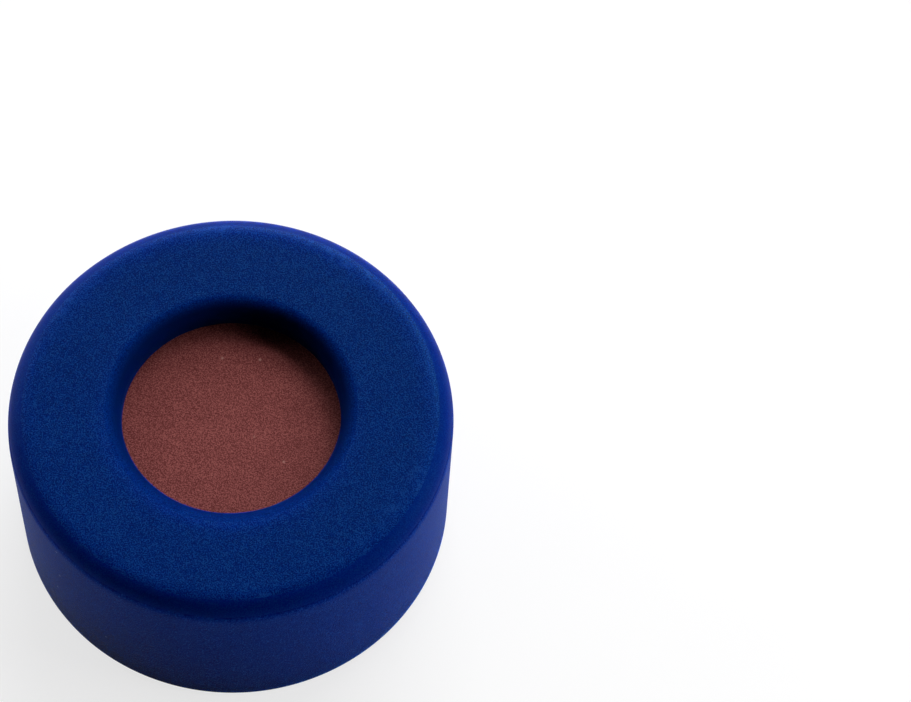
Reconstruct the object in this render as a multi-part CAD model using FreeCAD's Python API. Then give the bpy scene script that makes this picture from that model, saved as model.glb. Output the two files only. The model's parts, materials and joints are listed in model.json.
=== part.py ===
"""Snap ring vial cap: a one-piece moulded shell with snap beads, and the sealing disc inside it.

Millimetres, +Z up. The origin is the centre of the shell's rim, which the cap stands on. The
snap beads lie on the X and Y axes.
"""
import FreeCAD, Part
import math
import os

from FreeCAD import Vector

# The vial's lip that the cap snaps over
lip_radius = 5.5

# Shell, outside
height = 6.2
skirt_wall = 0.82
shoulder_rounding = 0.7
rim_outer_rounding = 0.12

# Top wall and the hole that the needle goes through
top_wall = 0.95
hole_radius = 3.2
hole_lip_rounding = 0.55
hole_lower_rounding = 0.1

# Shell, inside: a close seat for the disc, a looser neck bore and a flared mouth
seat_radius = 5.6
neck_clearance = 0.18
neck_taper_height = 0.2
neck_taper_rounding = 0.1
mouth_flare = 0.17
mouth_flare_height = 0.6
mouth_flare_rounding = 0.5
rim_inner_rounding = 0.12

# Sealing disc
septum_thickness = 1.0
septum_clearance = 0.02

# Snap beads: crescents that fade into the wall at both ends
bead_count = 4
bead_height = 0.38
bead_crest_level = 1.95
bead_lead_in = 0.9
bead_back = 0.5
bead_crest_rounding = 0.15
bead_arc_radius = 19.0
bead_root = 0.15
bead_end_sink = 0.05

# Levels and radii that follow from them
ceiling = height - top_wall
septum_underside = ceiling - septum_thickness
septum_radius = seat_radius - septum_clearance
neck_radius = lip_radius + neck_clearance
outer_radius = neck_radius + skirt_wall
mouth_radius = neck_radius + mouth_flare
bead_crest_radius = neck_radius - bead_height


def at(radius, level):
    """Point in the section plane, at a radius from the cap's axis and a level above the rim."""
    return Vector(radius, 0, level)


def corner_arc(before, corner, after, rounding):
    """Start, middle and end of the arc that rounds one corner, or the corner alone if it is sharp."""
    if rounding <= 0:
        return [corner]
    back = (before - corner).normalize()
    ahead = (after - corner).normalize()
    half_angle = back.getAngle(ahead) / 2
    reach = rounding / math.tan(half_angle)
    middle_way = (back + ahead).normalize()
    middle = corner + middle_way * (rounding / math.sin(half_angle) - rounding)
    return [corner + back * reach, middle, corner + ahead * reach]


def rounded_face(corners):
    """Plane face inside a closed outline of (radius, level, rounding) corners."""
    points = [at(radius, level) for radius, level, rounding in corners]
    count = len(points)
    arcs = []
    for index, (radius, level, rounding) in enumerate(corners):
        arcs.append(corner_arc(points[index - 1], points[index], points[(index + 1) % count], rounding))
    edges = []
    for index, arc in enumerate(arcs):
        if len(arc) == 3:
            edges.append(Part.Arc(*arc).toShape())
        following = arcs[(index + 1) % count][0]
        edges.append(Part.LineSegment(arc[-1], following).toShape())
    return Part.Face(Part.Wire(edges))


def moulded_body():
    """Skirt, shoulder, top wall and hole, turned from one section."""
    section = rounded_face([
        (outer_radius, 0, rim_outer_rounding),
        (outer_radius, height, shoulder_rounding),
        (hole_radius, height, hole_lip_rounding),
        (hole_radius, ceiling, hole_lower_rounding),
        (seat_radius, ceiling, 0),
        (seat_radius, septum_underside, neck_taper_rounding),
        (neck_radius, septum_underside - neck_taper_height, neck_taper_rounding),
        (neck_radius, mouth_flare_height, mouth_flare_rounding),
        (mouth_radius, 0, rim_inner_rounding),
    ])
    return section.revolve(Vector(0, 0, 0), Vector(0, 0, 1), 360)


def snap_bead():
    """One crescent bead on +X: its crest is an arc flatter than the wall, so it fades at both ends."""
    root_radius = neck_radius + bead_root
    reach = root_radius - bead_crest_radius
    section = rounded_face([
        (bead_crest_radius, bead_crest_level, bead_crest_rounding),
        (root_radius, bead_crest_level + bead_back * reach / bead_height, 0),
        (root_radius, bead_crest_level - bead_lead_in * reach / bead_height, 0),
    ])
    arc_centre = bead_crest_radius - bead_arc_radius
    end_radius = neck_radius + bead_end_sink
    squares = end_radius ** 2 - bead_arc_radius ** 2 - arc_centre ** 2
    sweep = 2 * math.degrees(math.acos(squares / (2 * bead_arc_radius * arc_centre)))
    section.rotate(Vector(arc_centre, 0, 0), Vector(0, 0, 1), -sweep / 2)
    return section.revolve(Vector(arc_centre, 0, 0), Vector(0, 0, 1), sweep)


def cap_shell():
    """Moulded body with its ring of snap beads."""
    beads = []
    for index in range(bead_count):
        bead = snap_bead()
        bead.rotate(Vector(0, 0, 0), Vector(0, 0, 1), 360 / bead_count * index)
        beads.append(bead)
    return moulded_body().fuse(beads).removeSplitter()


def septum():
    """Punched disc, flat against the underside of the top wall."""
    return Part.makeCylinder(septum_radius, septum_thickness, Vector(0, 0, septum_underside))


def write(name, shape):
    """Checks one piece and writes it."""
    solid = shape.Solids[0]
    if len(shape.Solids) != 1 or not solid.isValid():
        raise ValueError(name + " is not one valid solid")
    solid.exportStep("parts/" + name + ".step")
    print(name, "volume", round(solid.Volume, 3), "mm3, faces", len(solid.Faces))


os.makedirs("parts", exist_ok=True)
write("cap_shell", cap_shell())
write("septum", septum())
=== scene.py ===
"""Looks of a snap ring vial cap: a moulded polyethylene shell with its rubber sealing disc.

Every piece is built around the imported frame, in metres, +Z up. Sizes that the frame gives are read
from it, and the rest are written here in millimetres.
"""
import json
import logging
import math
from dataclasses import dataclass
from enum import Enum
from typing import Any, Callable

import bpy
from mathutils import Matrix, Vector, noise


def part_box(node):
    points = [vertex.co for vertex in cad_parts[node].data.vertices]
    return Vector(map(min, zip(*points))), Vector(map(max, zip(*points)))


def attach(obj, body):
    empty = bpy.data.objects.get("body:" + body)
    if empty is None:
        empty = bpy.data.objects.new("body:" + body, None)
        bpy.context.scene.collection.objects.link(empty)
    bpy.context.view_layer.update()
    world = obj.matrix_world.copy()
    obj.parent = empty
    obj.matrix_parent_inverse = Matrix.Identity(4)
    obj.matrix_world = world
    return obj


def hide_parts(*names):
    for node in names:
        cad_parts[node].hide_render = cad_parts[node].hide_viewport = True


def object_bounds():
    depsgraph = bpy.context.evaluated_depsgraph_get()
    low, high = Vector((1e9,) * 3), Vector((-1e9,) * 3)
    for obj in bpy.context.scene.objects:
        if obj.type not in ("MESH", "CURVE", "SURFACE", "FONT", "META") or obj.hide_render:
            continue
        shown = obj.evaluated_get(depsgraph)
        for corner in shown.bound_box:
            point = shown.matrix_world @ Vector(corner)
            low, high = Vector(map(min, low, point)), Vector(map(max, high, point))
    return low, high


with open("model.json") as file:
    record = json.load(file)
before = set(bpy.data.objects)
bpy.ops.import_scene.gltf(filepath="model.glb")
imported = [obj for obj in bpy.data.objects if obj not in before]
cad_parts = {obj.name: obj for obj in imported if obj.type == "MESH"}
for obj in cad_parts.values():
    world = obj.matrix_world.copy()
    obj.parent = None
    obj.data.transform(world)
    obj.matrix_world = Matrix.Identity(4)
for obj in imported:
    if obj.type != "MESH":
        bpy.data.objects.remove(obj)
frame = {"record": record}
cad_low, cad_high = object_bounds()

log = logging.getLogger("vial_cap")

MM = 0.001
BODY = "root"

Tree = bpy.types.NodeTree
Socket = bpy.types.NodeSocket


def linear(hex_colour: str) -> tuple[float, float, float, float]:
    """Turns an sRGB colour into the linear values that shaders take.

    Args:
        hex_colour: Colour as "#rrggbb".

    Returns:
        Linear red, green, blue and an alpha of 1.
    """
    digits = hex_colour.lstrip("#")
    channels = [int(digits[start:start + 2], 16) / 255 for start in (0, 2, 4)]
    lit = [c / 12.92 if c <= 0.04045 else ((c + 0.055) / 1.055) ** 2.4 for c in channels]
    return (lit[0], lit[1], lit[2], 1.0)


def texture_scale(feature_mm: float) -> float:
    """Gives the texture scale at which one feature of a pattern is as wide as the given size.

    Args:
        feature_mm: Real size of one feature in millimetres.

    Returns:
        Features per metre, for a texture that reads object coordinates.
    """
    return 1.0 / (feature_mm * MM)


def add_node(
    tree: Tree,
    kind: str,
    settings: dict[str | int, Any] | None = None,
    links: dict[str | int, Socket] | None = None,
) -> bpy.types.Node:
    """Adds one node to a tree, sets it up and joins it to what feeds it.

    Args:
        tree: Node tree of a material or a world.
        kind: Blender's name for the node type.
        settings: Values by property name, or by the name or number of an input.
        links: Output sockets by the name or number of the input that each one feeds.

    Returns:
        The new node.
    """
    node = tree.nodes.new(kind)
    for key, value in (settings or {}).items():
        if isinstance(key, int) or key in node.inputs:
            node.inputs[key].default_value = value
        else:
            setattr(node, key, value)
    for key, source in (links or {}).items():
        tree.links.new(source, node.inputs[key])
    return node


def new_material(name: str) -> tuple[bpy.types.Material, Tree]:
    """Makes an empty node material.

    Args:
        name: The material's name.

    Returns:
        The material and its node tree.
    """
    material = bpy.data.materials.new(name)
    material.use_nodes = True
    material.node_tree.nodes.clear()
    return material, material.node_tree


def noise_layer(
    tree: Tree, place: Socket, feature_mm: float, detail: float, roughness: float = 0.5
) -> Socket:
    """Adds one layer of noise.

    Args:
        tree: The material's tree.
        place: Coordinates in metres.
        feature_mm: Width of one feature.
        detail: Octaves of finer noise.
        roughness: How strong the finer octaves are.

    Returns:
        The noise value.
    """
    settings = {"Scale": texture_scale(feature_mm), "Detail": detail, "Roughness": roughness}
    return add_node(tree, "ShaderNodeTexNoise", settings, {"Vector": place}).outputs["Fac"]


def weighted_sum(tree: Tree, value: Socket, weight: float, rest: Socket) -> Socket:
    """Adds a value, times its weight, to the rest."""
    settings = {"operation": "MULTIPLY_ADD", 1: weight}
    return add_node(tree, "ShaderNodeMath", settings, {0: value, 2: rest}).outputs[0]


def product(tree: Tree, first: Socket, second: Socket) -> Socket:
    """Multiplies two values."""
    settings = {"operation": "MULTIPLY"}
    return add_node(tree, "ShaderNodeMath", settings, {0: first, 1: second}).outputs[0]


def share_between(
    tree: Tree, value: Socket, start: float, end: float, top: float = 1.0
) -> Socket:
    """Turns a value into a share that rises from 0 at one value to its top at another.

    Args:
        tree: Node tree of a material or a world.
        value: A distance, a noise value or a height.
        start: Where the share is 0, in the value's unit.
        end: Where the share reaches its top.
        top: The share there.

    Returns:
        The share.
    """
    settings = {"From Min": start, "From Max": end, "To Max": top}
    return add_node(tree, "ShaderNodeMapRange", settings, {"Value": value}).outputs["Result"]


def three_tones(
    tree: Tree, pattern: Socket, middle: float, reach: float, tones: tuple[str, str, str]
) -> Socket:
    """Colours a pattern from deep through the material's own colour to pale.

    Args:
        tree: The material's tree.
        pattern: The pattern's value.
        middle: Its value where the material has its own colour.
        reach: From there to the deepest and to the palest.
        tones: Deep, own and pale colour.

    Returns:
        The colour.
    """
    spread = share_between(tree, pattern, middle - reach, middle + reach)
    ramp = add_node(tree, "ShaderNodeValToRGB", links={"Fac": spread})
    deep, own, pale = (linear(tone) for tone in tones)
    ramp.color_ramp.elements[0].color = deep
    ramp.color_ramp.elements[1].color = pale
    ramp.color_ramp.elements.new(0.5).color = own
    return ramp.outputs["Color"]


def laid_over(tree: Tree, under: Socket, colour: str, share: Socket) -> Socket:
    """Lays a share of one plain colour over another colour."""
    settings = {"data_type": "RGBA", 7: linear(colour)}
    return add_node(tree, "ShaderNodeMix", settings, {0: share, 6: under}).outputs[2]


def speckles(
    tree: Tree, place: Socket, cell_mm: float, size_mm: float, top: float
) -> tuple[Socket, Socket]:
    """Scatters soft round specks, one in each cell of a pattern.

    Args:
        tree: The material's tree.
        place: Coordinates in metres.
        cell_mm: Width of a cell.
        size_mm: Radius at which a speck has faded by half.
        top: The share that a speck covers in its middle.

    Returns:
        The share that the specks cover, and a random value for each cell.
    """
    settings = {"Scale": texture_scale(cell_mm)}
    cells = add_node(tree, "ShaderNodeTexVoronoi", settings, {"Vector": place}).outputs
    size = size_mm / cell_mm
    return share_between(tree, cells["Distance"], size * 1.5, size * 0.5, top), cells["Color"]


def relief(tree: Tree, height: Socket, depth_mm: float, under: Socket | None = None) -> Socket:
    """Turns a pattern into relief.

    Args:
        tree: The material's tree.
        height: The pattern's value.
        depth_mm: Depth of the relief where the pattern runs from 0 to 1.
        under: Normal of a relief that this one lies on.

    Returns:
        The surface normal.
    """
    links = {"Height": height}
    if under is not None:
        links["Normal"] = under
    settings = {"Strength": 1.0, "Distance": depth_mm * MM}
    return add_node(tree, "ShaderNodeBump", settings, links).outputs["Normal"]


class CavityFinish(Enum):
    """How the steel of the mould was finished where it formed the surface."""

    SPARK_ERODED = "spark_eroded"
    BLASTED = "blasted"
    POLISHED = "polished"
    TURNED = "turned"


@dataclass(frozen=True)
class SurfaceLook:
    """What one cavity finish gives the eye: the blue, the haze over it and the grain.

    The gloss is a specular level, and the grain stretch draws the skirt's grain longer along
    the axis, where the eye sees it at a slant. The bleed scales how far light gets into the
    plastic: it is less at the roundings, so that their thin edges don't glow.
    """

    pigment: str
    pale: str
    deep: str
    haze: str
    gloss: float
    roughness: float
    grain_depth_mm: float
    contrast: float = 1.0
    grain_stretch: float = 1.0
    bleed: float = 1.0


SURFACE_LOOKS = {
    CavityFinish.SPARK_ERODED: SurfaceLook(
        pigment="#002069", pale="#183a82", deep="#000b50", haze="#e0ffff",
        gloss=0.006, roughness=0.45, grain_depth_mm=0.01, contrast=0.6, grain_stretch=1.5,
    ),
    CavityFinish.BLASTED: SurfaceLook(
        pigment="#001c62", pale="#0b3073", deep="#000c4f", haze="#00e0ff",
        gloss=0.07, roughness=0.45, grain_depth_mm=0.003,
    ),
    CavityFinish.POLISHED: SurfaceLook(
        pigment="#001964", pale="#062a6c", deep="#000d56", haze="#00e0ff",
        gloss=0.04, roughness=0.45, grain_depth_mm=0.001, contrast=0.5, bleed=0.6,
    ),
    # The turned finish's deep blue is also the painted shade laid on the hole's lip
    CavityFinish.TURNED: SurfaceLook(
        pigment="#001c62", pale="#0b3073", deep="#001040", haze="#00e0ff",
        gloss=0.01, roughness=0.6, grain_depth_mm=0.001, contrast=0.6, bleed=0.3,
    ),
}


@dataclass(frozen=True)
class MouldedPolyethylene:
    """Blue pigmented polyethylene as it leaves the mould.

    The plastic is soft and slightly see-through, so light bleeds a little way in, blue light the
    furthest, and leaves shaded places a deep, clean blue. A spark eroded cavity leaves a coarse
    matt grain that looks hazy at a slant, a blasted one a fine matt grain with a few pale
    scuffs, a polished one leaves the same plastic smooth and saturated, and the turned core
    leaves the inside a shade deeper. The hole's lip is painted deeper towards the bore: that
    is painted shade.
    """

    finish: CavityFinish
    edge_mm: float
    index: float = 1.51
    bleed_mm: tuple[float, float, float] = (0.6, 1.5, 3.2)
    roughness_swing: float = 0.05
    unevenness_mm: float = 0.002
    # Widths of the three layers of the blue, and what two of them count for against the mottle
    cloud_mm: float = 1.9
    mottle_mm: float = 0.3
    grain_mm: float = 0.036
    cloud_weight: float = 0.7
    grain_weight: float = 6.5
    broad_detail: float = 2.0
    detail_strength: float = 0.55
    grain_range: tuple[float, float] = (0.3, 0.7)
    # Sum of the layers where the blue is the pigment's own, and from there to deepest and palest
    blend_middle: float = 4.1
    blend_reach: float = 1.3
    # The ragged end of the skirt's grain, above its edge
    ragged_mm: float = 0.35
    ragged_fade_mm: tuple[float, float] = (0.1, 0.24)
    ragged_share: float = 0.9
    # Pale scuffs in a ring at the top's outer edge, where both noises are high
    scuff: str = "#22509a"
    scuff_fade_mm: tuple[float, float] = (-0.4, -0.15)
    scuff_share: float = 0.16
    scuff_patch: tuple[float, float] = (0.52, 0.66)
    scuff_fleck: tuple[float, float] = (0.5, 0.66)
    # Painted shade on the hole's lip, deeper towards the bore
    lip_painted_shade_mm: tuple[float, float] = (0.44, 0.14)
    # Specks of dust, in the cells whose random value is high enough
    dust: str = "#8f9dbb"
    dust_cell_mm: float = 1.1
    dust_size_mm: float = 0.035
    dust_share: float = 0.5
    dust_threshold: float = 0.62

    @property
    def look(self) -> SurfaceLook:
        """What this finish gives the eye."""
        return SURFACE_LOOKS[self.finish]

    def material(self) -> bpy.types.Material:
        """Builds the node material.

        Returns:
            The finished material.
        """
        material, tree = new_material("moulded_polyethylene_" + self.finish.value)
        place = add_node(tree, "ShaderNodeTexCoord").outputs["Object"]
        look = self.look
        stretch = (1.0, 1.0, 1.0 / look.grain_stretch)
        drawn = add_node(
            tree, "ShaderNodeMapping", {"Scale": stretch}, {"Vector": place}
        ).outputs["Vector"]
        cloud, mottle = (
            noise_layer(tree, place, width, self.broad_detail, self.detail_strength)
            for width in (self.cloud_mm, self.mottle_mm)
        )
        grain = noise_layer(tree, drawn, self.grain_mm, 0.0, self.detail_strength)
        low, high = self.grain_range
        rough = add_node(
            tree, "ShaderNodeMapRange",
            {
                "From Min": low,
                "From Max": high,
                "To Min": look.roughness - self.roughness_swing,
                "To Max": look.roughness + self.roughness_swing,
            },
            {"Value": grain},
        )
        shader = add_node(
            tree, "ShaderNodeBsdfPrincipled",
            {
                "IOR": self.index,
                "Specular IOR Level": look.gloss,
                "Specular Tint": linear(look.haze),
                "Subsurface Weight": 1.0,
                "Subsurface Radius": self.bleed_mm,
                "Subsurface Scale": look.bleed * MM,
            },
            {
                "Base Color": self._colour(tree, place, cloud, mottle, grain),
                "Roughness": rough.outputs["Result"],
                "Normal": relief(
                    tree, grain, look.grain_depth_mm, relief(tree, mottle, self.unevenness_mm)
                ),
            },
        )
        add_node(tree, "ShaderNodeOutputMaterial", links={"Surface": shader.outputs["BSDF"]})
        return material

    def _colour(
        self, tree: Tree, place: Socket, cloud: Socket, mottle: Socket, grain: Socket
    ) -> Socket:
        """Mixes the pigment with its clouds, mottle and grain, then adds its edge and a little dust.

        Args:
            tree: The material's tree.
            place: Coordinates in metres.
            cloud: Broad variation.
            mottle: Middle variation.
            grain: Fine variation.

        Returns:
            The base colour.
        """
        look = self.look
        broad = weighted_sum(tree, cloud, self.cloud_weight, mottle)
        layers = weighted_sum(tree, grain, self.grain_weight, broad)
        reach = self.blend_reach / look.contrast
        tones = (look.deep, look.pigment, look.pale)
        blue = three_tones(tree, layers, self.blend_middle, reach, tones)
        bordered = self._border(tree, place, cloud, mottle, blue)
        specks, cells = speckles(
            tree, place, self.dust_cell_mm, self.dust_size_mm, self.dust_share
        )
        chosen = add_node(
            tree, "ShaderNodeMath", {"operation": "GREATER_THAN", 1: self.dust_threshold}, {0: cells}
        ).outputs[0]
        return laid_over(tree, bordered, self.dust, product(tree, specks, chosen))

    def _border(
        self, tree: Tree, place: Socket, cloud: Socket, mottle: Socket, blue: Socket
    ) -> Socket:
        """Draws what each finish does at its edge.

        The skirt's grain ends in a ragged line below the polished shoulder, the top has faint
        pale scuffs inside its edge, and the lip of the hole gets painted shade that grows deeper
        towards the bore. The polished shoulder has nothing there.

        Args:
            tree: The material's tree.
            place: Coordinates in metres.
            cloud: Broad variation.
            mottle: Middle variation.
            blue: Colour of the plastic before its edge.

        Returns:
            The colour with its edge.
        """
        if self.finish is CavityFinish.POLISHED:
            return blue
        parts = add_node(tree, "ShaderNodeSeparateXYZ", links={"Vector": place}).outputs
        if self.finish is CavityFinish.SPARK_ERODED:
            level = weighted_sum(tree, mottle, self.ragged_mm * MM, parts["Z"])
            share = self._beside_edge(tree, level, self.ragged_fade_mm, self.ragged_share)
            return laid_over(tree, blue, self.look.deep, share)
        flat = add_node(tree, "ShaderNodeCombineXYZ", links={"X": parts["X"], "Y": parts["Y"]})
        radius = add_node(
            tree, "ShaderNodeVectorMath", {"operation": "LENGTH"}, {0: flat.outputs["Vector"]}
        ).outputs["Value"]
        if self.finish is CavityFinish.TURNED:
            # Painted shade: the deep blue is laid over the hole's lip, fully at the bore
            share = self._beside_edge(tree, radius, self.lip_painted_shade_mm)
            return laid_over(tree, blue, self.look.deep, share)
        ring = self._beside_edge(tree, radius, self.scuff_fade_mm, self.scuff_share)
        patch = share_between(tree, cloud, *self.scuff_patch)
        fleck = share_between(tree, mottle, *self.scuff_fleck)
        share = product(tree, ring, product(tree, patch, fleck))
        return laid_over(tree, blue, self.scuff, share)

    def _beside_edge(
        self, tree: Tree, distance: Socket, fade_mm: tuple[float, float], top: float = 1.0
    ) -> Socket:
        """Gives the share of something that fades in beside the finish's edge.

        Args:
            tree: The material's tree.
            distance: Radius or level in metres.
            fade_mm: Where it starts and where it is full, counted from the edge.
            top: The share where it is full.

        Returns:
            The share.
        """
        start, end = ((self.edge_mm + offset) * MM for offset in fade_mm)
        return share_between(tree, distance, start, end, top)


@dataclass(frozen=True)
class PunchedRubber:
    """Red-brown filled rubber sheet, calendered and punched.

    The filler gives the eye a dense, matt, salt-and-pepper grain with almost no gloss.
    """

    rubber: str = "#69302e"
    pale: str = "#844643"
    deep: str = "#4f1a1a"
    filler: str = "#a97c74"
    grain_mm: float = 0.036
    grain_detail: float = 0.5
    grain_roughness: float = 0.6
    blotch_mm: float = 0.9
    blotch_detail: float = 2.0
    blotch_weight: float = 0.15
    blend_middle: float = 0.575
    blend_reach: float = 0.2
    filler_cell_mm: float = 1.3
    filler_size_mm: float = 0.04
    filler_share: float = 0.6
    relief_mm: float = 0.008
    roughness: float = 0.82
    gloss: float = 0.2
    index: float = 1.5

    def material(self) -> bpy.types.Material:
        """Builds the node material.

        Returns:
            The finished material.
        """
        material, tree = new_material("punched_rubber_sheet")
        place = add_node(tree, "ShaderNodeTexCoord").outputs["Object"]
        grain = noise_layer(tree, place, self.grain_mm, self.grain_detail, self.grain_roughness)
        blotch = noise_layer(tree, place, self.blotch_mm, self.blotch_detail)
        both = weighted_sum(tree, blotch, self.blotch_weight, grain)
        tones = (self.deep, self.rubber, self.pale)
        brown = three_tones(tree, both, self.blend_middle, self.blend_reach, tones)
        specks, _ = speckles(
            tree, place, self.filler_cell_mm, self.filler_size_mm, self.filler_share
        )
        shader = add_node(
            tree, "ShaderNodeBsdfPrincipled",
            {"Roughness": self.roughness, "IOR": self.index, "Specular IOR Level": self.gloss},
            {
                "Base Color": laid_over(tree, brown, self.filler, specks),
                "Normal": relief(tree, grain, self.relief_mm),
            },
        )
        add_node(tree, "ShaderNodeOutputMaterial", links={"Surface": shader.outputs["BSDF"]})
        return material


def background_rays(tree: Tree) -> Socket:
    """Finds the rays that see the background: straight, mirrored and through glass.

    Args:
        tree: Node tree of a material or a world.

    Returns:
        1 for such a ray, and 0 for light that falls on a surface.
    """
    rays = add_node(tree, "ShaderNodeLightPath").outputs
    seen = rays["Is Camera Ray"]
    for ray in ("Is Glossy Ray", "Is Transmission Ray"):
        links = {0: seen, 1: rays[ray]}
        seen = add_node(tree, "ShaderNodeMath", {"operation": "MAXIMUM"}, links).outputs[0]
    return seen


@dataclass(frozen=True)
class StudioPaper:
    """White seamless paper under the cap, with the faint unevenness of its fibres.

    A share of it shows plain white, so that the paper looks evenly lit while it keeps the cap's
    shadow.
    """

    paper: str = "#fbfbfb"
    fibre: str = "#f4f4f5"
    fibre_mm: float = 6.0
    fibre_detail: float = 3.0
    roughness: float = 0.9
    even_share: float = 0.72

    def material(self) -> bpy.types.Material:
        """Builds the node material.

        Returns:
            The finished material.
        """
        material, tree = new_material("studio_paper")
        place = add_node(tree, "ShaderNodeTexCoord").outputs["Object"]
        fibres = noise_layer(tree, place, self.fibre_mm, self.fibre_detail)
        colours = {"data_type": "RGBA", 6: linear(self.paper), 7: linear(self.fibre)}
        mixed = add_node(tree, "ShaderNodeMix", colours, {0: fibres})
        shader = add_node(
            tree, "ShaderNodeBsdfPrincipled",
            {"Roughness": self.roughness, "Specular IOR Level": 0.0},
            {"Base Color": mixed.outputs[2]},
        )
        white = add_node(
            tree, "ShaderNodeEmission", {"Color": (1.0, 1.0, 1.0, 1.0), "Strength": 1.0}
        )
        share = add_node(
            tree, "ShaderNodeMath",
            {"operation": "MULTIPLY", 1: self.even_share}, {0: background_rays(tree)},
        )
        both = add_node(
            tree, "ShaderNodeMixShader",
            links={
                0: share.outputs[0],
                1: shader.outputs["BSDF"],
                2: white.outputs["Emission"],
            },
        )
        add_node(tree, "ShaderNodeOutputMaterial", links={"Surface": both.outputs["Shader"]})
        return material


@dataclass(frozen=True)
class Corner:
    """One corner of a section, in millimetres, with its rounding and the ring spacing after it."""

    radius: float
    level: float
    rounding: float
    line_step: float


def stations_along(corners: list[Corner], arc_step_deg: float) -> list[Vector]:
    """Lays rings along a closed section of straight runs and round corners.

    Args:
        corners: The section's corners in order.
        arc_step_deg: Turn between two rings on a rounding, in degrees.

    Returns:
        Radius and level of each ring in order, none twice.
    """
    stations: list[Vector] = []
    spots = [Vector((corner.radius, corner.level)) for corner in corners]
    arcs: list[list[Vector]] = []
    for number, corner in enumerate(corners):
        spot = spots[number]
        back = (spots[number - 1] - spot).normalized()
        ahead = (spots[(number + 1) % len(spots)] - spot).normalized()
        half_angle = back.angle(ahead) / 2
        if corner.rounding <= 0:
            arcs.append([spot])
            continue
        centre = spot + (back + ahead).normalized() * corner.rounding / math.sin(half_angle)
        reach = corner.rounding / math.tan(half_angle)
        start = spot + back * reach - centre
        turn = math.pi - 2 * half_angle
        if start.x * ahead.y - start.y * ahead.x < 0:
            turn = -turn
        steps = max(2, math.ceil(math.degrees(abs(turn)) / arc_step_deg))
        arc = []
        for step in range(steps + 1):
            angle = turn * step / steps
            swung = Vector((
                start.x * math.cos(angle) - start.y * math.sin(angle),
                start.x * math.sin(angle) + start.y * math.cos(angle),
            ))
            arc.append(centre + swung)
        arcs.append(arc)
    for number, corner in enumerate(corners):
        arc = arcs[number]
        stations.extend(arc[:-1])
        following = arcs[(number + 1) % len(arcs)][0]
        run = following - arc[-1]
        pieces = max(1, round(run.length / corner.line_step))
        stations.extend(arc[-1] + run * piece / pieces for piece in range(pieces))
    return stations


def turned_mesh(
    name: str,
    stations: list[Vector],
    segments: int,
    shape: Callable[[float, float, float], tuple[float, float]],
    finish: Callable[[float, float], CavityFinish],
) -> bpy.types.Mesh:
    """Turns a closed loop of rings into a mesh, with each band's finish as its material number.

    Args:
        name: The mesh's name.
        stations: Radius and level of each ring in order round the section.
        segments: Faces round the axis.
        shape: Gives the true radius and level of a point from its nominal ones and its angle.
        finish: Gives the cavity's finish at a nominal radius and level.

    Returns:
        The mesh, in metres.
    """
    finishes = list(CavityFinish)
    points: list[tuple[float, float, float]] = []
    for station in stations:
        for segment in range(segments):
            angle = 2 * math.pi * segment / segments
            radius, level = shape(station.x, station.y, angle)
            across, along = radius * math.cos(angle), radius * math.sin(angle)
            points.append((across * MM, along * MM, level * MM))
    faces: list[tuple[int, int, int, int]] = []
    slots: list[int] = []
    for ring, station in enumerate(stations):
        following = (ring + 1) % len(stations)
        middle = (station + stations[following]) / 2
        slot = finishes.index(finish(middle.x, middle.y))
        for segment in range(segments):
            beside = (segment + 1) % segments
            faces.append((
                ring * segments + segment,
                ring * segments + beside,
                following * segments + beside,
                following * segments + segment,
            ))
            slots.append(slot)
    mesh = bpy.data.meshes.new(name)
    mesh.from_pydata(points, [], faces)
    mesh.polygons.foreach_set("material_index", slots)
    mesh.polygons.foreach_set("use_smooth", [True] * len(faces))
    mesh.update()
    return mesh


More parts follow.
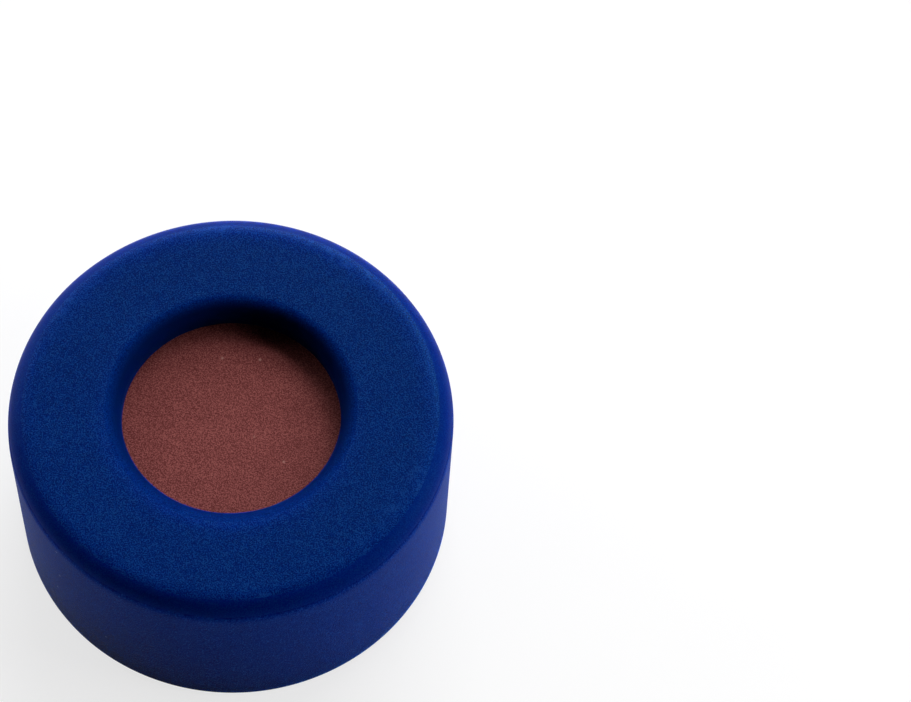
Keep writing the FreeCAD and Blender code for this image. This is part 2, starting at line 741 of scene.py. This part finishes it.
@dataclass
class CapShell:
    """The moulded shell. Sizes are in millimetres, and the first five come from the frame.

    The beads end a margin below the disc's seat, and the unevenness stays a margin outside it,
    so that the seat itself is true.
    """

    outer_radius: float
    height: float
    hole_radius: float
    ceiling: float
    seat_level: float
    shoulder_rounding: float = 0.7
    rim_outer_rounding: float = 0.12
    hole_lip_rounding: float = 0.55
    hole_lower_rounding: float = 0.1
    seat_radius: float = 5.6
    neck_radius: float = 5.68
    neck_taper_height: float = 0.2
    neck_taper_rounding: float = 0.1
    mouth_flare: float = 0.17
    mouth_flare_height: float = 0.6
    mouth_flare_rounding: float = 0.5
    rim_inner_rounding: float = 0.12
    bead_count: int = 4
    bead_height: float = 0.38
    bead_crest_level: float = 1.95
    bead_lead_in: float = 0.9
    bead_back: float = 0.5
    bead_crest_rounding: float = 0.15
    bead_arc_radius: float = 19.0
    bead_blend: float = 0.05
    skirt_grain_top: float = 5.74
    skirt_grain_overlap: float = 0.06
    top_grain_edge: float = 5.88
    top_tolerance: float = 0.04
    lip_width: float = 0.46
    segments: int = 384
    arc_step_deg: float = 7.5
    unevenness: float = 0.006
    unevenness_width: float = 3.0
    margin_below_seat: float = 0.05
    margin_outside_seat: float = 0.3

    def build(self) -> bpy.types.Object:
        """Builds the shell, dresses it and puts it in the place of its CAD node.

        Returns:
            The shell's object.
        """
        mesh = turned_mesh(
            "cap_shell_moulding", self._stations(), self.segments, self._shape, self._finish
        )
        edges = {
            CavityFinish.SPARK_ERODED: self.skirt_grain_top,
            CavityFinish.BLASTED: self.top_grain_edge,
            CavityFinish.POLISHED: 0.0,
            CavityFinish.TURNED: self.hole_radius,
        }
        for finish in CavityFinish:
            mesh.materials.append(MouldedPolyethylene(finish, edges[finish]).material())
        shell = bpy.data.objects.new("cap_shell_moulding", mesh)
        bpy.context.scene.collection.objects.link(shell)
        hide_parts("cap_shell")
        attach(shell, BODY)
        return shell

    def _stations(self) -> list[Vector]:
        """Rings round the whole section, from the rim's outer edge up and back down inside."""
        neck_top = self.seat_level - self.neck_taper_height
        mouth_radius = self.neck_radius + self.mouth_flare
        return stations_along(
            [
                Corner(self.outer_radius, 0, self.rim_outer_rounding, 0.15),
                Corner(self.outer_radius, self.height, self.shoulder_rounding, 0.12),
                Corner(self.hole_radius, self.height, self.hole_lip_rounding, 0.1),
                Corner(self.hole_radius, self.ceiling, self.hole_lower_rounding, 0.3),
                Corner(self.seat_radius, self.ceiling, 0, 0.2),
                Corner(self.seat_radius, self.seat_level, self.neck_taper_rounding, 0.1),
                Corner(self.neck_radius, neck_top, self.neck_taper_rounding, 0.05),
                Corner(self.neck_radius, self.mouth_flare_height, self.mouth_flare_rounding, 0.1),
                Corner(mouth_radius, 0, self.rim_inner_rounding, 0.08),
            ],
            self.arc_step_deg,
        )

    def _finish(self, radius: float, level: float) -> CavityFinish:
        """Finish of the cavity at a nominal point of the section.

        Args:
            radius: Nominal radius.
            level: Nominal level.

        Returns:
            The finish: grained on the skirt and the top, polished between them, turned inside.
        """
        outside = radius > self.outer_radius - self.shoulder_rounding
        skirt_top = self.skirt_grain_top + self.skirt_grain_overlap
        if outside and self.rim_outer_rounding < level < skirt_top:
            return CavityFinish.SPARK_ERODED
        beside_lip = radius > self.hole_radius + self.lip_width
        if level > self.height - self.top_tolerance and beside_lip:
            return CavityFinish.BLASTED
        return CavityFinish.POLISHED if outside else CavityFinish.TURNED

    def _shape(self, radius: float, level: float, angle: float) -> tuple[float, float]:
        """Adds the snap beads and the moulding's faint unevenness to a nominal point.

        Args:
            radius: Nominal radius.
            level: Nominal level.
            angle: Angle round the axis in radians.

        Returns:
            True radius and level.
        """
        below_seat = level < self.seat_level - self.margin_below_seat
        if radius < self.neck_radius + self.mouth_flare and below_seat:
            radius = self._smaller(radius, self._bead_radius(level, angle))
        elif radius > self.seat_radius + self.margin_outside_seat:
            spot = Vector((math.cos(angle), math.sin(angle), level / self.outer_radius))
            wave = noise.noise(spot * self.outer_radius / self.unevenness_width)
            radius -= self.unevenness * (1 + wave) / 2
        return radius, level

    def _smaller(self, first: float, second: float) -> float:
        """The smaller of two radii, with the inner corner between them rounded off."""
        overlap = max(self.bead_blend - abs(first - second), 0.0) / self.bead_blend
        return min(first, second) - overlap * overlap * self.bead_blend / 4

    def _bead_radius(self, level: float, angle: float) -> float:
        """Radius of the nearest snap bead's surface.

        A bead is turned about an axis of its own, so its crest is an arc that is flatter than
        the wall and sinks into it at both ends.

        Args:
            level: Level above the rim.
            angle: Angle round the cap's axis in radians.

        Returns:
            Distance of the bead's surface from the cap's axis.
        """
        spacing = 2 * math.pi / self.bead_count
        aside = (angle + spacing / 2) % spacing - spacing / 2
        crest_radius = self.neck_radius - self.bead_height
        above = level - self.bead_crest_level
        run = self.bead_back if above > 0 else self.bead_lead_in
        slope = self.bead_height / run
        rise = math.sqrt(above * above + self.bead_crest_rounding ** 2) - self.bead_crest_rounding
        turn_radius = self.bead_arc_radius + slope * rise
        offset = self.bead_arc_radius - crest_radius
        sideways = offset * math.sin(aside)
        if abs(sideways) > turn_radius:
            return self.outer_radius
        return -offset * math.cos(aside) + math.sqrt(turn_radius ** 2 - sideways ** 2)


@dataclass
class SealingDisc:
    """The punched rubber disc, in millimetres. The first three sizes come from the frame."""

    radius: float
    underside: float
    top: float
    edge_rounding: float = 0.04
    edge_steps: int = 3
    ring_step: float = 0.14
    segments: int = 256
    waviness: float = 0.006
    waviness_width: float = 2.4

    def build(self) -> bpy.types.Object:
        """Builds the disc, dresses it and puts it in the place of its CAD node.

        Returns:
            The disc's object.
        """
        mesh = self._mesh("septum_disc")
        mesh.materials.append(PunchedRubber().material())
        disc = bpy.data.objects.new("septum_disc", mesh)
        bpy.context.scene.collection.objects.link(disc)
        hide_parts("septum")
        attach(disc, BODY)
        return disc

    def _rings(self) -> list[tuple[float, float]]:
        """Lays rings from the top's middle over the edge to the bottom's middle.

        Returns:
            Radius and level of each ring.
        """
        flat = self.radius - self.edge_rounding
        count = math.ceil(flat / self.ring_step)
        radii = [flat * number / count for number in range(1, count + 1)]
        rounding = []
        for step in range(1, self.edge_steps + 1):
            angle = math.radians(90 * step / self.edge_steps)
            inset = self.edge_rounding * (1 - math.cos(angle))
            rounding.append((flat + self.edge_rounding * math.sin(angle), inset))
        rings = [(radius, self.top) for radius in radii]
        rings.extend((radius, self.top - inset) for radius, inset in rounding)
        rings.append((self.radius, (self.top + self.underside) / 2))
        rings.extend((radius, self.underside + inset) for radius, inset in reversed(rounding))
        rings.extend((radius, self.underside) for radius in reversed(radii))
        return rings

    def _mesh(self, name: str) -> bpy.types.Mesh:
        """Makes the disc's closed mesh.

        Args:
            name: The mesh's name.

        Returns:
            The mesh, in metres.
        """
        rings = self._rings()
        points = [(0.0, 0.0, self.top * MM)]
        for radius, level in rings:
            for segment in range(self.segments):
                angle = 2 * math.pi * segment / self.segments
                spot = Vector((radius * math.cos(angle), radius * math.sin(angle), level))
                inward = 1 if level < (self.top + self.underside) / 2 else -1
                wave = (1 + noise.noise(spot / self.waviness_width)) / 2
                height = level + inward * self.waviness * wave
                points.append((spot.x * MM, spot.y * MM, height * MM))
        points.append((0.0, 0.0, self.underside * MM))
        last = 1 + (len(rings) - 1) * self.segments
        top_fan: list[tuple[int, ...]] = []
        sides: list[tuple[int, ...]] = []
        bottom_fan: list[tuple[int, ...]] = []
        for segment in range(self.segments):
            beside = (segment + 1) % self.segments
            top_fan.append((0, 1 + segment, 1 + beside))
            bottom_fan.append((len(points) - 1, last + beside, last + segment))
        for ring in range(len(rings) - 1):
            start = 1 + ring * self.segments
            following = start + self.segments
            for segment in range(self.segments):
                beside = (segment + 1) % self.segments
                sides.append((
                    start + segment, following + segment, following + beside, start + beside
                ))
        faces = top_fan + sides + bottom_fan
        mesh = bpy.data.meshes.new(name)
        mesh.from_pydata(points, [], faces)
        mesh.polygons.foreach_set("use_smooth", [True] * len(faces))
        mesh.update()
        return mesh


@dataclass(frozen=True)
class SoftBox:
    """One studio lamp: a white soft box that faces the cap.

    Its azimuth turns from straight behind the cap to the right.
    """

    name: str
    azimuth_deg: float
    elevation_deg: float
    watts: float
    distance_mm: float = 1500.0
    width_mm: float = 690.0
    height_mm: float = 690.0

    def build(self, target: Vector) -> None:
        """Hangs the lamp and turns it to the cap.

        Args:
            target: The point that the lamp faces, in metres.
        """
        lamp = bpy.data.lights.new(self.name, "AREA")
        lamp.shape = "RECTANGLE"
        lamp.size = self.width_mm * MM
        lamp.size_y = self.height_mm * MM
        lamp.energy = self.watts
        holder = bpy.data.objects.new(self.name, lamp)
        azimuth, elevation = math.radians(self.azimuth_deg), math.radians(self.elevation_deg)
        outward = Vector((
            math.cos(elevation) * math.sin(azimuth),
            math.cos(elevation) * math.cos(azimuth),
            math.sin(elevation),
        ))
        holder.location = target + outward * self.distance_mm * MM
        holder.rotation_mode = "QUATERNION"
        holder.rotation_quaternion = outward.to_track_quat("Z", "Y")
        holder.visible_camera = False
        bpy.context.scene.collection.objects.link(holder)


@dataclass(frozen=True)
class PhotoCamera:
    """The camera at the photograph's viewing angle.

    The foot pixel is where the centre of the cap's rim lies in the picture, and the depth is
    that point's distance along the line of sight.
    """

    picture_width_px: float = 911
    picture_height_px: float = 702
    focal_px: float = 3200
    pitch_deg: float = 62.56
    roll_deg: float = 4.61
    foot_px: tuple[float, float] = (236.03, 495.95)
    foot_depth_mm: float = 98.43
    sensor_mm: float = 36.0
    nearest_mm: float = 1.0
    furthest_mm: float = 10000.0

    def build(self) -> None:
        """Makes the camera and gives it to the scene."""
        pitch, roll = math.radians(self.pitch_deg), math.radians(self.roll_deg)
        forward = Vector((0, math.cos(pitch), -math.sin(pitch)))
        upright = Vector((0, math.sin(pitch), math.cos(pitch)))
        sideways = Vector((1, 0, 0))
        right = sideways * math.cos(roll) + upright * math.sin(roll)
        up = upright * math.cos(roll) - sideways * math.sin(roll)
        across = (self.foot_px[0] - self.picture_width_px / 2) / self.focal_px
        down = (self.foot_px[1] - self.picture_height_px / 2) / self.focal_px
        sight = forward + right * across - up * down
        lens = bpy.data.cameras.new("photo_camera")
        lens.sensor_width = self.sensor_mm
        lens.lens = self.focal_px / self.picture_width_px * self.sensor_mm
        lens.clip_start = self.nearest_mm * MM
        lens.clip_end = self.furthest_mm * MM
        camera = bpy.data.objects.new("photo_camera", lens)
        turn = Matrix((right, up, -forward)).transposed()
        stand = Matrix.Translation(-sight * self.foot_depth_mm * MM)
        camera.matrix_world = stand @ turn.to_4x4()
        bpy.context.scene.collection.objects.link(camera)
        bpy.context.scene.camera = camera


@dataclass
class Studio:
    """Pale paper, soft lamps and an even surround.

    The paper lies a hair below the rim, so that the two faces don't share one plane. The
    backdrop's top and fade are heights on a sphere of radius 1.
    """

    floor_half_mm: float = 900.0
    floor_drop_mm: float = 0.02
    low_row_deg: float = 18.0
    high_row_deg: float = 37.0
    surround: str = "#ffffff"
    surround_strength: float = 0.01
    backdrop_top: float = 0.15
    backdrop_fade: float = 0.1

    def build(self) -> None:
        """Lays the floor, hangs the lamps and lights the surround."""
        self._floor()
        target = Vector((0, 0, (cad_low.z + cad_high.z) / 2))
        for lamp in self._lamps():
            lamp.build(target)
        self._surround()
        bpy.context.scene.view_settings.view_transform = "Standard"

    def _lamps(self) -> list[SoftBox]:
        """Gives the soft boxes behind the cap and beside it, in a low row and a higher one.

        Returns:
            The lamps.
        """
        low, high = self.low_row_deg, self.high_row_deg
        return [
            SoftBox("low_left_box", -60, low, 8.0),
            SoftBox("low_back_left_box", -30, low, 6.2),
            SoftBox("low_back_box", 0, low, 8.5),
            SoftBox("low_right_box", 90, low, 11.5),
            SoftBox("high_back_box", 0, high, 8.2),
            SoftBox("high_back_right_box", 30, high, 13.2),
            SoftBox("high_right_box", 60, high, 5.0),
        ]

    def _floor(self) -> None:
        """Lays the paper that the cap stands on."""
        half = self.floor_half_mm * MM
        level = -self.floor_drop_mm * MM
        sides = ((-half, -half), (half, -half), (half, half), (-half, half))
        mesh = bpy.data.meshes.new("studio_floor")
        mesh.from_pydata([(*side, level) for side in sides], [], [(0, 1, 2, 3)])
        mesh.materials.append(StudioPaper().material())
        floor = bpy.data.objects.new("studio_floor", mesh)
        bpy.context.scene.collection.objects.link(floor)

    def _surround(self) -> None:
        """Gives the world a weak even light, and a white backdrop low down that only the eye sees."""
        world = bpy.data.worlds.new("studio_surround")
        world.use_nodes = True
        tree = world.node_tree
        tree.nodes.clear()
        direction = add_node(tree, "ShaderNodeTexCoord").outputs["Generated"]
        height = add_node(tree, "ShaderNodeSeparateXYZ", links={"Vector": direction}).outputs["Z"]
        fade_end = self.backdrop_top + self.backdrop_fade
        low = share_between(tree, height, fade_end, self.backdrop_top)
        strength = add_node(
            tree, "ShaderNodeMapRange",
            {"To Min": self.surround_strength, "To Max": 1.0},
            {"Value": product(tree, background_rays(tree), low)},
        )
        light = add_node(
            tree, "ShaderNodeBackground",
            {"Color": linear(self.surround)}, {"Strength": strength.outputs["Result"]},
        )
        add_node(tree, "ShaderNodeOutputWorld", links={"Surface": light.outputs["Background"]})
        bpy.context.scene.world = world


def mount_radius_mm(name: str) -> float:
    """Radius of one of the record's round mounts.

    Args:
        name: The mount's name.

    Returns:
        Its radius in millimetres.
    """
    mounts = {mount["name"]: mount for mount in frame["record"]["mounts"]}
    return float(mounts[name]["dims"]["r_mm"])


def main() -> None:
    """Builds the cap's pieces in order, then the studio round them."""
    logging.basicConfig(level=logging.INFO, format="%(name)s: %(message)s")
    _, shell_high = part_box("cap_shell")
    disc_low, disc_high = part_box("septum")
    shell = CapShell(
        outer_radius=shell_high.x / MM,
        height=shell_high.z / MM,
        hole_radius=mount_radius_mm("needle_port"),
        ceiling=disc_high.z / MM,
        seat_level=disc_low.z / MM,
    ).build()
    log.info("%s: %d faces", shell.name, len(shell.data.polygons))
    disc = SealingDisc(disc_high.x / MM, disc_low.z / MM, disc_high.z / MM).build()
    log.info("%s: %d faces", disc.name, len(disc.data.polygons))
    Studio().build()
    PhotoCamera().build()
    log.info("studio and camera stand")


if __name__ == "__main__":
    main()
